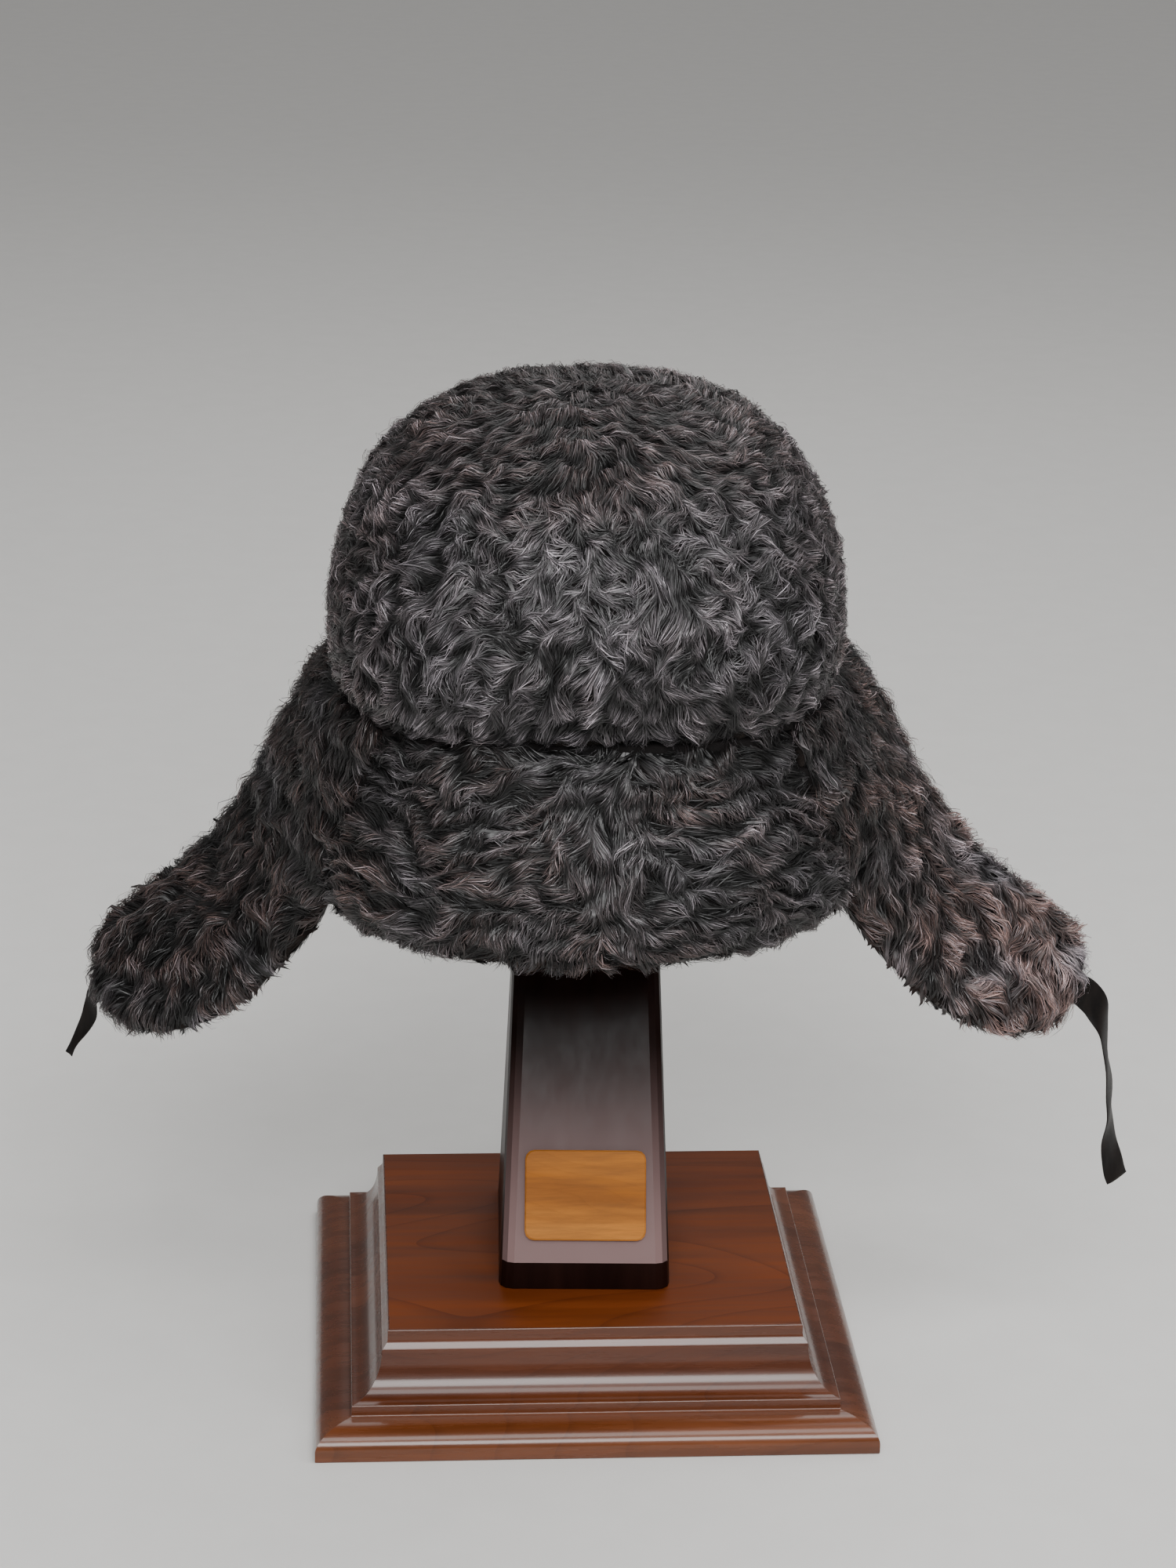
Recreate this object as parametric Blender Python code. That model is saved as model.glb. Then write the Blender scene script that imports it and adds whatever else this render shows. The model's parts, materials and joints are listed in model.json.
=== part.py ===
"""A karakul ear-flap hat on a moulded wooden display stand, with its ear flaps let down.

Lengths are in millimetres until a mesh is made. The stand is square to X and Y, with the
origin at the centre of its underside. The hat's forehead faces +Y and its nape -Y, and it
is turned and tipped a little on the stand.
"""

import math

import bmesh
import bpy
from mathutils import Matrix, Vector

MM = 0.001
GAP = 0.3  # between pieces that touch
SMOOTH_ANGLE = math.radians(40.0)  # edges sharper than this stay sharp
FINER_ROWS = 2  # rows made from each given row of the crown, nape flap and ribbons
CUT_REACH = 200.0  # how far a cutting block goes past the crown

# Where the hat sits on the stand
HAT_TURN = math.radians(-4.1)
HAT_LEAN = math.radians(-1.2)
HAT_SHIFT_X = -4.0

# Crown: a rounded dome, widest above its hem, in a centre panel and two side panels
CROWN_WALL = 7.0
CROWN_SEAM_X = 92.0
CROWN_HEM_Z = 318.0
CROWN_AROUND = 56
CROWN_RINGS = (
    # height, half_width, half_length, squareness
    (318.0, 97.0, 109.0, 3.4),
    (329.0, 104.5, 116.5, 3.2),
    (345.0, 107.5, 119.5, 3.0),
    (366.0, 105.5, 117.0, 2.8),
    (388.0, 99.0, 109.0, 2.6),
    (407.0, 87.5, 96.0, 2.5),
    (421.0, 73.0, 79.0, 2.4),
    (431.0, 54.5, 59.0, 2.3),
    (437.0, 33.0, 35.0, 2.2),
)
CROWN_TOP_Z = 439.0

# Nape flap: hangs from the hem round the back, creases a little way down, and flares
NAPE_TOP_Z = CROWN_HEM_Z - GAP
NAPE_BOTTOM_Z = 228.0
NAPE_TOP_ANGLE = math.radians(49.0)
NAPE_BOTTOM_ANGLE = math.radians(67.0)
NAPE_AROUND = 30
NAPE_RINGS = (
    # height, half_width, half_length, squareness, thickness
    (NAPE_TOP_Z, 97.0, 107.0, 3.2, 12.0),
    (306.0, 102.0, 112.5, 3.0, 17.0),
    (289.0, 107.0, 115.5, 2.8, 18.0),
    (276.0, 113.0, 122.0, 2.7, 20.0),
    (261.0, 117.5, 126.0, 2.6, 20.0),
    (244.0, 121.0, 130.0, 2.4, 20.0),
    (233.5, 118.5, 129.5, 2.25, 18.0),
    (NAPE_BOTTOM_Z, 113.5, 125.0, 2.2, 10.0),
)

# Ear flaps: padded slabs that leave the hem at each side and bend outwards to round tips.
# The rows are for the flap on +X, and the other one mirrors them.
FLAP_TOP_Z = CROWN_HEM_Z - GAP
FLAP_AROUND = 24
FLAP_STEPS = 3
FLAP_SECTIONS = (
    # rear_x, rear_y, rear_z, front_x, front_y, front_z, thickness, bow
    (84.0, -86.0, FLAP_TOP_Z, 97.0, 62.0, FLAP_TOP_Z, 20.0, 5.0),
    (92.0, -78.0, 292.0, 116.0, 60.0, 295.0, 24.0, 4.0),
    (102.0, -66.0, 257.0, 133.0, 55.0, 266.0, 25.0, 3.0),
    (113.0, -51.0, 223.0, 151.0, 50.0, 238.0, 25.0, 2.0),
    (134.0, -41.0, 193.0, 173.0, 44.0, 215.0, 25.0, 1.0),
    (158.0, -34.0, 169.0, 197.0, 37.0, 198.0, 24.0, 0.0),
    (184.0, -25.0, 156.5, 213.0, 27.0, 187.0, 21.0, 0.0),
    (203.0, -11.0, 153.0, 219.0, 13.0, 176.5, 15.0, 0.0),
    (212.0, -3.0, 160.0, 218.0, 5.0, 168.0, 6.0, 0.0),
)
FLAP_SQUARENESS = 2.6
ROOM_DEPTH = 30.0  # how far the cut beside the nape flap reaches past its two faces

# Forehead flap: turned up against the front of the crown, whose shape is cut out of it. Its
# plan at each height follows two curves, an inner and an outer one, given by how far they
# reach forward.
FOREHEAD_ACROSS = 16
FOREHEAD_PLAN_RATIO = 0.9
FOREHEAD_SQUARENESS = 2.9
FOREHEAD_ROWS = (
    # height, inner_reach, outer_reach, half_width
    (308.0, 105.0, 117.0, 66.0),
    (315.0, 102.0, 126.0, 71.0),
    (330.0, 104.0, 133.0, 73.0),
    (352.0, 112.0, 136.0, 71.0),
    (378.0, 112.0, 133.0, 63.0),
    (400.0, 111.0, 127.5, 52.0),
    (411.0, 110.5, 124.5, 43.0),
    (415.5, 112.5, 121.5, 37.0),
)

# Ribbons: flat ties sewn into the flaps' tips, each in a slot of its own. Each row is a point
# down the middle, the way across the ribbon there, and its width.
RIBBON_THICKNESS = 1.0
RIBBON_RIGHT = (
    # x, y, z, across_x, across_y, across_z, width
    (208.0, 7.0, 164.5, 0.40, 0.45, 0.80, 13.0),
    (215.5, 8.0, 164.0, 0.40, 0.45, 0.80, 13.0),
    (219.5, 8.5, 162.8, 0.40, 0.35, 0.85, 13.5),
    (223.5, 9.0, 159.6, 0.50, 0.25, 0.80, 13.5),
    (227.9, 9.0, 153.6, 0.70, 0.50, 0.50, 13.0),
    (231.0, 9.0, 144.0, 0.42, 0.90, 0.10, 13.0),
    (232.8, 9.0, 131.4, 0.20, 0.98, 0.00, 13.0),
    (235.0, 9.0, 116.2, 0.32, 0.95, 0.00, 13.0),
    (235.7, 9.0, 102.3, 0.28, 0.96, 0.00, 13.0),
    (236.2, 9.0, 89.3, 0.60, 0.80, 0.05, 13.0),
    (238.4, 9.0, 77.6, 0.80, 0.60, 0.10, 12.5),
    (240.7, 9.0, 70.4, 0.85, 0.45, -0.40, 12.0),
)
RIBBON_LEFT = (
    # x, y, z, across_x, across_y, across_z, width
    (-209.0, 4.0, 163.0, -0.40, 0.45, 0.80, 8.0),
    (-215.0, 8.0, 159.5, -0.45, 0.55, 0.70, 8.0),
    (-216.5, 10.0, 154.5, -0.70, 0.60, 0.40, 8.0),
    (-217.8, 11.0, 148.3, -0.90, 0.40, -0.20, 7.5),
    (-221.9, 12.0, 140.3, -0.85, 0.40, -0.35, 6.0),
    (-226.0, 12.0, 133.5, -0.80, 0.50, -0.40, 4.2),
    (-227.8, 12.0, 129.3, -0.80, 0.50, -0.40, 4.6),
)

# Plinth: a square block with a rounded foot, a step, a deep cove and a top band
BASE_WIDTH = 240.0
BASE_DEPTH = 232.0
BASE_HEIGHT = 45.8
FOOT_HEIGHT = 6.6
FOOT_ROUND = (2.3, 6.6, 14.0, 13.2)  # inset and height where the quarter round starts and ends
COVE = (15.5, 18.3, 28.5, 37.2)  # inset and height where the cove starts and ends
BAND = ((29.2, 37.4), (30.8, 41.4))
PLATEAU_INSET = 31.6
FOOT_EDGE = (0.6, 0.8)  # inset and height of the small bevel round the underside
FOOT_SHOULDER = 2.0  # from the top of the foot's upright face up to its quarter round
PLATEAU_EDGE = (0.5, 0.6)  # inset and drop of the bevel round the plateau
ARC_STEPS = 5

# Post: a short upright foot, then a face that leans back, then a plain hidden neck
POST_TURN = math.radians(-2.3)
POST_X = -0.8
POST_ROUND = 6.0
POST_ROUND_STEPS = 3
POST_FOOT_TAPER = 0.5  # off each side over the height of the foot
POST_LEAN = math.radians(28.0)
POST_FRONT_Y = -51.0
POST_BACK_Y = 50.0
POST_NECK_DEPTH = 36.0
POST_FOOT_TOP_Z = 58.7
POST_NECK_Z = 178.0
POST_HALF_WIDTH_FOOT = 37.3
POST_HALF_WIDTH_NECK = 32.4

# Hidden support: a plain pad on the post that fills the top of the crown
PAD_BOTTOM_Z = 408.0
PAD_TAPER = 8.0

# Plaque: a bare plate on the leaning face
PLAQUE_WIDTH = 52.8
PLAQUE_HEIGHT = 39.2
PLAQUE_THICKNESS = 2.0
PLAQUE_CORNER = 4.0
PLAQUE_CORNER_STEPS = 3
PLAQUE_RIM = 0.6
PLAQUE_BOTTOM_ALONG = 9.7  # up the leaning face from its lower edge


def clear_scene():
    for item in list(bpy.data.objects):
        bpy.data.objects.remove(item, do_unlink=True)


def material(name, colour, roughness, metallic=0.0):
    made = bpy.data.materials.new(name)
    made.use_nodes = True
    shader = made.node_tree.nodes["Principled BSDF"]
    shader.inputs["Base Color"].default_value = (*colour, 1.0)
    shader.inputs["Roughness"].default_value = roughness
    shader.inputs["Metallic"].default_value = metallic
    return made


def hat_matrix():
    """Turns and tips the hat about the middle of its hem, and moves it onto the stand's axis."""
    pivot = Vector((0.0, 0.0, CROWN_HEM_Z))
    turn = Matrix.Rotation(HAT_TURN, 4, "Z") @ Matrix.Rotation(HAT_LEAN, 4, "Y")
    shift = Vector((HAT_SHIFT_X, 0.0, 0.0))
    return Matrix.Translation(pivot + shift) @ turn @ Matrix.Translation(-pivot)


def add_object(name, points, faces, surface, place=None, smooth=True):
    """Makes a closed mesh object from points in millimetres, with its faces turned outwards."""
    mesh = bpy.data.meshes.new(name)
    placed = [(place @ Vector(p) if place else Vector(p)) * MM for p in points]
    mesh.from_pydata(placed, [], faces)
    shape = bmesh.new()
    shape.from_mesh(mesh)
    bmesh.ops.recalc_face_normals(shape, faces=shape.faces)
    shape.to_mesh(mesh)
    shape.free()
    mesh.materials.append(surface)
    made = bpy.data.objects.new(name, mesh)
    bpy.context.collection.objects.link(made)
    if smooth:
        mesh.shade_smooth()
        mesh.set_sharp_from_angle(angle=SMOOTH_ANGLE)
    return made


def cut(target, cutter, operation="DIFFERENCE"):
    """Applies a Boolean to the target, and leaves the cutter out of the model."""
    step = target.modifiers.new("cut", "BOOLEAN")
    step.operation = operation
    step.solver = "EXACT"
    step.object = cutter
    cutter.hide_render = True
    cutter.display_type = "WIRE"


def signed_power(value, power):
    return math.copysign(abs(value) ** power, value)


def rounded_square(angle, half_width, half_length, squareness):
    """The point of a superellipse at an angle from +X."""
    power = 2.0 / squareness
    x = half_width * signed_power(math.cos(angle), power)
    y = half_length * signed_power(math.sin(angle), power)
    return x, y


def smooth_rows(rows, steps):
    """Rows with more between them, on Catmull-Rom curves through the given ones."""
    ends = [rows[0], *rows, rows[-1]]
    made = []
    for i in range(1, len(ends) - 2):
        before, start, end, after = ends[i - 1 : i + 3]
        for step in range(steps):
            t = step / steps
            made.append(
                tuple(
                    0.5 * (2 * b + (c - a) * t + (2 * a - 5 * b + 4 * c - d) * t**2
                           + (3 * b - a - 3 * c + d) * t**3)
                    for a, b, c, d in zip(before, start, end, after)
                )
            )
    made.append(tuple(rows[-1]))
    return made


def tube_faces(rings, around):
    """The side faces of a stack of closed rings, and a ladder of faces across each end of it."""
    faces = []
    for ring in range(rings - 1):
        for i in range(around):
            j = (i + 1) % around
            low, high = ring * around, (ring + 1) * around
            faces.append((low + i, low + j, high + j, high + i))
    for first in (0, (rings - 1) * around):
        for k in range(around // 2 - 1):
            across = around - 1 - k
            faces.append((first + k, first + k + 1, first + across - 1, first + across))
    return faces


def crown_ring(row, inset=0.0):
    height, half_width, half_length, squareness = row
    points = []
    for i in range(CROWN_AROUND):
        angle = 2 * math.pi * i / CROWN_AROUND
        x, y = rounded_square(angle, half_width - inset, half_length - inset, squareness)
        points.append((x, y, height))
    return points


def crown_inner_rows():
    """The crown's rows seen from inside: pulled in by the wall, and down near the top."""
    rise = CROWN_TOP_Z - CROWN_HEM_Z
    shrink = (rise - CROWN_WALL) / rise
    return [
        (CROWN_HEM_Z + (row[0] - CROWN_HEM_Z) * shrink, *row[1:])
        for row in CROWN_RINGS
    ]


def crown_shell():
    """The whole crown's points and faces: an outer dome, an inner one and the hem between them."""
    points = []
    faces = []
    starts = []
    outer = smooth_rows(CROWN_RINGS, FINER_ROWS)
    inner = crown_inner_rows()
    for rows, inset, top in (
        (outer, 0.0, CROWN_TOP_Z),
        (inner, CROWN_WALL, CROWN_TOP_Z - CROWN_WALL),
    ):
        first = len(points)
        starts.append(first)
        for row in rows:
            points += crown_ring(row, inset)
        points.append((0.0, 0.0, top))
        for ring in range(len(rows) - 1):
            low = first + ring * CROWN_AROUND
            high = low + CROWN_AROUND
            for i in range(CROWN_AROUND):
                j = (i + 1) % CROWN_AROUND
                faces.append((low + i, low + j, high + j, high + i))
        last = first + (len(rows) - 1) * CROWN_AROUND
        pole = len(points) - 1
        for i in range(CROWN_AROUND):
            faces.append((last + i, last + (i + 1) % CROWN_AROUND, pole))
    for i in range(CROWN_AROUND):
        j = (i + 1) % CROWN_AROUND
        faces.append((starts[0] + i, starts[1] + i, starts[1] + j, starts[0] + j))
    return points, faces


def block(name, low, high, place):
    """A box between two corners, used to cut."""
    corners = [
        (x, y, z)
        for z in (low[2], high[2])
        for x, y in ((low[0], low[1]), (high[0], low[1]), (high[0], high[1]), (low[0], high[1]))
    ]
    return add_object(name, corners, tube_faces(2, 4), material(name, (0.5, 0.5, 0.5), 0.5), place, False)


def build_crown(place):
    points, faces = crown_shell()
    fur = material("karakul_crown", (0.10, 0.095, 0.095), 0.55)
    side_fur = material("karakul_crown_sides", (0.085, 0.075, 0.07), 0.6)
    low_z, high_z = CROWN_HEM_Z - CUT_REACH, CROWN_TOP_Z + CUT_REACH
    panels = (
        ("crown_centre", -CROWN_SEAM_X, CROWN_SEAM_X, fur),
        ("crown_side_left", -CUT_REACH, -CROWN_SEAM_X - GAP, side_fur),
        ("crown_side_right", CROWN_SEAM_X + GAP, CUT_REACH, side_fur),
    )
    for name, left, right, surface in panels:
        panel = add_object(name, points, faces, surface, place)
        low, high = (left, -CUT_REACH, low_z), (right, CUT_REACH, high_z)
        keep = block(name + "_extent", low, high, place)
        cut(panel, keep, "INTERSECT")


def nape_loops(rows, side_room=0.0, depth_room=0.0):
    """Upright loops round the back of the head, down the outside of the rows and up the inside."""
    loops = []
    for step in range(NAPE_AROUND + 1):
        share = 2 * step / NAPE_AROUND - 1
        outer = []
        inner = []
        for height, half_width, half_length, squareness, thickness in rows:
            fall = (NAPE_TOP_Z - height) / (NAPE_TOP_Z - NAPE_BOTTOM_Z)
            spread = NAPE_TOP_ANGLE + (NAPE_BOTTOM_ANGLE - NAPE_TOP_ANGLE) * fall
            angle = -math.pi / 2 + share * (spread + side_room / half_length)
            for side, inset in ((outer, -depth_room), (inner, thickness + depth_room)):
                x, y = rounded_square(angle, half_width - inset, half_length - inset, squareness)
                side.append((x, y, height))
        loops.append(outer + inner[::-1])
    return loops


def loops_to_mesh(loops):
    points = [p for loop in loops for p in loop]
    return points, tube_faces(len(loops), len(loops[0]))


def build_nape_flap(place):
    fur = material("karakul_nape", (0.10, 0.095, 0.095), 0.55)
    points, faces = loops_to_mesh(nape_loops(smooth_rows(NAPE_RINGS, FINER_ROWS)))
    add_object("nape_flap", points, faces, fur, place)


def nape_room(name, surface, place):
    """A cutter with the nape flap's side edges, a gap wider, and far thicker than the flap."""
    top, *_, bottom = NAPE_RINGS
    above = (top[0] + ROOM_DEPTH, *top[1:])
    below = (bottom[0] - GAP, *bottom[1:])
    rows = [above, *smooth_rows(NAPE_RINGS, FINER_ROWS), below]
    points, faces = loops_to_mesh(nape_loops(rows, side_room=2 * GAP, depth_room=ROOM_DEPTH))
    return add_object(name, points, faces, surface, place)


def flap_loops(mirror):
    """Closed sections down an ear flap, with the middle of each bowed outwards."""
    rows = smooth_rows(FLAP_SECTIONS, FLAP_STEPS)
    middles = [(Vector(row[0:3]) + Vector(row[3:6])) / 2 for row in rows]
    loops = []
    for i, row in enumerate(rows):
        rear, front = Vector(row[0:3]), Vector(row[3:6])
        thickness, bow = row[6:8]
        along = middles[min(i + 1, len(rows) - 1)] - middles[max(i - 1, 0)]
        if i == 0:
            along = Vector((0.0, 0.0, -1.0))
        across = (front - rear) / 2
        outward = across.cross(along).normalized()
        if outward.x < 0:
            outward = -outward
        loop = []
        for k in range(FLAP_AROUND):
            u, v = rounded_square(2 * math.pi * k / FLAP_AROUND, 1.0, 0.5, FLAP_SQUARENESS)
            lift = thickness * v + bow * (1 - u * u)
            point = middles[i] + across * u + outward * lift
            loop.append((point.x * mirror, point.y, point.z))
        loops.append(loop)
    return loops


def build_ear_flap(name, mirror, tie, place):
    fur = material("karakul_" + name, (0.095, 0.09, 0.09), 0.55)
    points, faces = loops_to_mesh(flap_loops(mirror))
    flap = add_object(name, points, faces, fur, place)
    cut(flap, nape_room(name + "_room", fur, place))
    points, faces = loops_to_mesh(ribbon_loops(tie, GAP))
    cut(flap, add_object(name + "_slot", points, faces, fur, place))


def build_forehead_flap(place):
    fur = material("karakul_forehead", (0.10, 0.095, 0.095), 0.55)
    loops = []
    for step in range(FOREHEAD_ACROSS + 1):
        share = 2 * step / FOREHEAD_ACROSS - 1
        inner = []
        outer = []
        for height, inner_reach, outer_reach, half_width in FOREHEAD_ROWS:
            x = half_width * share
            for side, reach in ((inner, inner_reach), (outer, outer_reach)):
                part = abs(x / (reach * FOREHEAD_PLAN_RATIO)) ** FOREHEAD_SQUARENESS
                side.append((x, reach * (1 - part) ** (1 / FOREHEAD_SQUARENESS), height))
        loops.append(outer + inner[::-1])
    points, faces = loops_to_mesh(loops)
    flap = add_object("forehead_flap", points, faces, fur, place)
    hem, *rings = smooth_rows(CROWN_RINGS, FINER_ROWS)
    crown = [crown_ring((hem[0] - GAP, *hem[1:]), -GAP)]
    crown += [crown_ring(row, -GAP) for row in rings]
    points, faces = loops_to_mesh(crown)
    cut(flap, add_object("forehead_room", points, faces, fur, place))


def ribbon_loops(rows, room=0.0):
    """Oblong sections down a ribbon, each grown by the room round it."""
    rows = smooth_rows(rows, FINER_ROWS)
    loops = []
    for i, row in enumerate(rows):
        middle = Vector(row[0:3])
        ahead = Vector(rows[min(i + 1, len(rows) - 1)][0:3])
        behind = Vector(rows[max(i - 1, 0)][0:3])
        along = (ahead - behind).normalized()
        across = Vector(row[3:6])
        across = (across - along * across.dot(along)).normalized()
        through = across.cross(along).normalized() * (RIBBON_THICKNESS / 2 + room)
        across *= row[6] / 2 + room
        if i == 0:
            middle -= along * room
        corners = ((-1, -1), (1, -1), (1, 1), (-1, 1))
        loops.append([tuple(middle + across * a + through * b) for a, b in corners])
    return loops


def build_ribbon(name, rows, place):
    satin = material(name + "_satin", (0.012, 0.012, 0.013), 0.35)
    points, faces = loops_to_mesh(ribbon_loops(rows))
    add_object(name, points, faces, satin, place)


def base_profile():
    """The plinth's outline as (inset, height), from its underside up to its plateau."""
    outline = [(FOOT_EDGE[0], 0.0), (0.0, FOOT_EDGE[1]), (0.0, FOOT_HEIGHT - FOOT_SHOULDER)]
    inset, height, inset_end, height_end = FOOT_ROUND
    for step in range(ARC_STEPS + 1):
        angle = math.pi / 2 * step / ARC_STEPS
        x = inset + (inset_end - inset) * (1 - math.cos(angle))
        outline.append((x, height + (height_end - height) * math.sin(angle)))
    inset, height, inset_end, height_end = COVE
    for step in range(ARC_STEPS + 1):
        angle = math.pi / 2 * step / ARC_STEPS
        x = inset + (inset_end - inset) * math.sin(angle)
        outline.append((x, height + (height_end - height) * (1 - math.cos(angle))))
    edge = (PLATEAU_INSET - PLATEAU_EDGE[0], BASE_HEIGHT - PLATEAU_EDGE[1])
    return [*outline, *BAND, edge, (PLATEAU_INSET, BASE_HEIGHT)]


def build_base():
    wood = material("lacquered_wood", (0.16, 0.055, 0.025), 0.2)
    loops = []
    for inset, height in base_profile():
        x, y = BASE_WIDTH / 2 - inset, BASE_DEPTH / 2 - inset
        loops.append([(-x, -y, height), (x, -y, height), (x, y, height), (-x, y, height)])
    points, faces = loops_to_mesh(loops)
    add_object("stand_base", points, faces, wood, smooth=False)


def post_front_y(height):
    """How far forward the post's front stands at a height, before it is turned."""
    if height <= POST_FOOT_TOP_Z:
        return POST_FRONT_Y
    lean_end = min(height, POST_NECK_Z)
    return POST_FRONT_Y + (lean_end - POST_FOOT_TOP_Z) * math.tan(POST_LEAN)


def post_matrix():
    return Matrix.Translation((POST_X, 0.0, 0.0)) @ Matrix.Rotation(POST_TURN, 4, "Z")


def build_post():
    wood = material("dark_wood", (0.022, 0.009, 0.007), 0.18)
    tip = POST_HALF_WIDTH_NECK * math.sin(abs(HAT_LEAN))  # the pad on it leans with the hat
    levels = (
        # height, half_width
        (BASE_HEIGHT + GAP, POST_HALF_WIDTH_FOOT),
        (POST_FOOT_TOP_Z, POST_HALF_WIDTH_FOOT - POST_FOOT_TAPER),
        (POST_NECK_Z, POST_HALF_WIDTH_NECK),
        (PAD_BOTTOM_Z - GAP - tip, POST_HALF_WIDTH_NECK),
    )
    loops = []
    for height, half_width in levels:
        front = post_front_y(height)
        back = POST_BACK_Y
        if height >= POST_NECK_Z:
            back = front + POST_NECK_DEPTH
        loops.append(
            [(-half_width, front, height), (half_width, front, height),
             (half_width, back, height), (-half_width, back, height)]
        )
    points, faces = loops_to_mesh(loops)
    post = add_object("stand_post", points, faces, wood, post_matrix())
    edges = post.modifiers.new("rounded_edges", "BEVEL")
    edges.width = POST_ROUND * MM
    edges.segments = POST_ROUND_STEPS
    edges.limit_method = "WEIGHT"
    mark_upright_edges(post)


def mark_upright_edges(post):
    """Gives the post's four long edges a bevel weight."""
    mesh = post.data
    weights = mesh.attributes.new("bevel_weight_edge", "FLOAT", "EDGE")
    for edge in mesh.edges:
        low, high = (mesh.vertices[i].co for i in edge.vertices)
        if abs(high.z - low.z) > MM:
            weights.data[edge.index].value = 1.0


def build_plaque():
    wood = material("plaque_wood", (0.36, 0.15, 0.045), 0.4)
    outline = []
    for corner in range(4):
        sign_x, sign_y = ((1, 1), (-1, 1), (-1, -1), (1, -1))[corner]
        for step in range(PLAQUE_CORNER_STEPS + 1):
            angle = math.pi / 2 * (corner + step / PLAQUE_CORNER_STEPS)
            x = sign_x * (PLAQUE_WIDTH / 2 - PLAQUE_CORNER) + PLAQUE_CORNER * math.cos(angle)
            y = sign_y * (PLAQUE_HEIGHT / 2 - PLAQUE_CORNER) + PLAQUE_CORNER * math.sin(angle)
            outline.append((x, y))
    loops = []
    shoulder = PLAQUE_THICKNESS - PLAQUE_RIM
    for height, inset in ((0.0, 0.0), (shoulder, 0.0), (PLAQUE_THICKNESS, PLAQUE_RIM)):
        scale_x = 1 - 2 * inset / PLAQUE_WIDTH
        scale_y = 1 - 2 * inset / PLAQUE_HEIGHT
        loops.append([(x * scale_x, y * scale_y, height) for x, y in outline])
    points, faces = loops_to_mesh(loops)
    along = PLAQUE_BOTTOM_ALONG + PLAQUE_HEIGHT / 2
    height = POST_FOOT_TOP_Z + along * math.cos(POST_LEAN)
    face = Matrix.Translation((0.0, post_front_y(height), height))
    lean = Matrix.Rotation(math.pi / 2 - POST_LEAN, 4, "X")
    place = post_matrix() @ face @ lean @ Matrix.Translation((0.0, 0.0, GAP))
    add_object("stand_plaque", points, faces, wood, place)


def build_pad(place):
    """The hidden pad: it follows the crown's inner top, and its underside is flat."""
    wood = material("pad_wood", (0.05, 0.03, 0.02), 0.5)
    rows = [row for row in crown_inner_rows() if row[0] > PAD_BOTTOM_Z]
    loops = [crown_ring((PAD_BOTTOM_Z, *rows[0][1:]), CROWN_WALL + PAD_TAPER)]
    for height, *shape in rows:
        loops.append(crown_ring((height - GAP, *shape), CROWN_WALL + GAP))
    points, faces = loops_to_mesh(loops)
    add_object("stand_pad", points, faces, wood, place)


def main():
    clear_scene()
    place = hat_matrix()
    build_crown(place)
    build_nape_flap(place)
    build_ear_flap("ear_flap_left", -1.0, RIBBON_LEFT, place)
    build_ear_flap("ear_flap_right", 1.0, RIBBON_RIGHT, place)
    build_forehead_flap(place)
    build_ribbon("ribbon_left", RIBBON_LEFT, place)
    build_ribbon("ribbon_right", RIBBON_RIGHT, place)
    build_base()
    build_post()
    build_plaque()
    build_pad(place)


main()
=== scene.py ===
"""Looks for a karakul ear-flap hat on its wooden stand: fur, ribbons, wood, studio and camera.

Lengths are in metres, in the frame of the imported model: the origin is the middle of the
stand's underside, +Z is up, and the camera looks along +Y at the nape of the hat.
"""
import json
import math

import bmesh
import bpy
import numpy as np
from mathutils import Matrix, Vector
from mathutils.bvhtree import BVHTree

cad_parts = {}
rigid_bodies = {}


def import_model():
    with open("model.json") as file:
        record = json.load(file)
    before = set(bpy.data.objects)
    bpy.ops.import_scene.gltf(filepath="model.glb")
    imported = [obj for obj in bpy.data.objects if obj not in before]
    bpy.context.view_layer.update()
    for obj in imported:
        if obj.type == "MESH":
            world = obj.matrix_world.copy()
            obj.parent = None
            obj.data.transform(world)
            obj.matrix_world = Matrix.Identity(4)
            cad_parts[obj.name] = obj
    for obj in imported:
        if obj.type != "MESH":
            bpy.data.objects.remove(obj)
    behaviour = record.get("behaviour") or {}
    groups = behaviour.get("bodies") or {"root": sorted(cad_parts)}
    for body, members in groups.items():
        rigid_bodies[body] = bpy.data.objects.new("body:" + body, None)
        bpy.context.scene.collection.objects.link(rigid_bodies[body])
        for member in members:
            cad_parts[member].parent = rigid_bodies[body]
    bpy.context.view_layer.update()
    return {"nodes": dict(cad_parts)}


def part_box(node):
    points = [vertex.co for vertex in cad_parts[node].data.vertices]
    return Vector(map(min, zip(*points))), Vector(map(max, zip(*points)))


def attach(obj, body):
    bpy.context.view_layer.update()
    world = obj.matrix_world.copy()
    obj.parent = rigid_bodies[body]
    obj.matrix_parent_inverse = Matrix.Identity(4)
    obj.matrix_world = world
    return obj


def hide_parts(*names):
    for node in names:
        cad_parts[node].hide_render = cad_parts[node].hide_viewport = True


MM = 0.001

# Camera, worked out from the stand's edges in the photograph
IMAGE_HEIGHT = 2000.0
FOCAL_PIXELS = 4589.3
SENSOR = 36.0
CAMERA_AT = (-0.10901, -1.44318, 0.79601)
CAMERA_YAW, CAMERA_PITCH, CAMERA_ROLL = -0.073784, 0.353460, 0.021901

# Where the hat sits on the stand
HAT_PIVOT = Vector((0.0, 0.0, 0.318))
HAT_SHIFT_X = -0.004
HAT_TURN = math.radians(-4.1)
HAT_LEAN = math.radians(-1.2)

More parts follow.
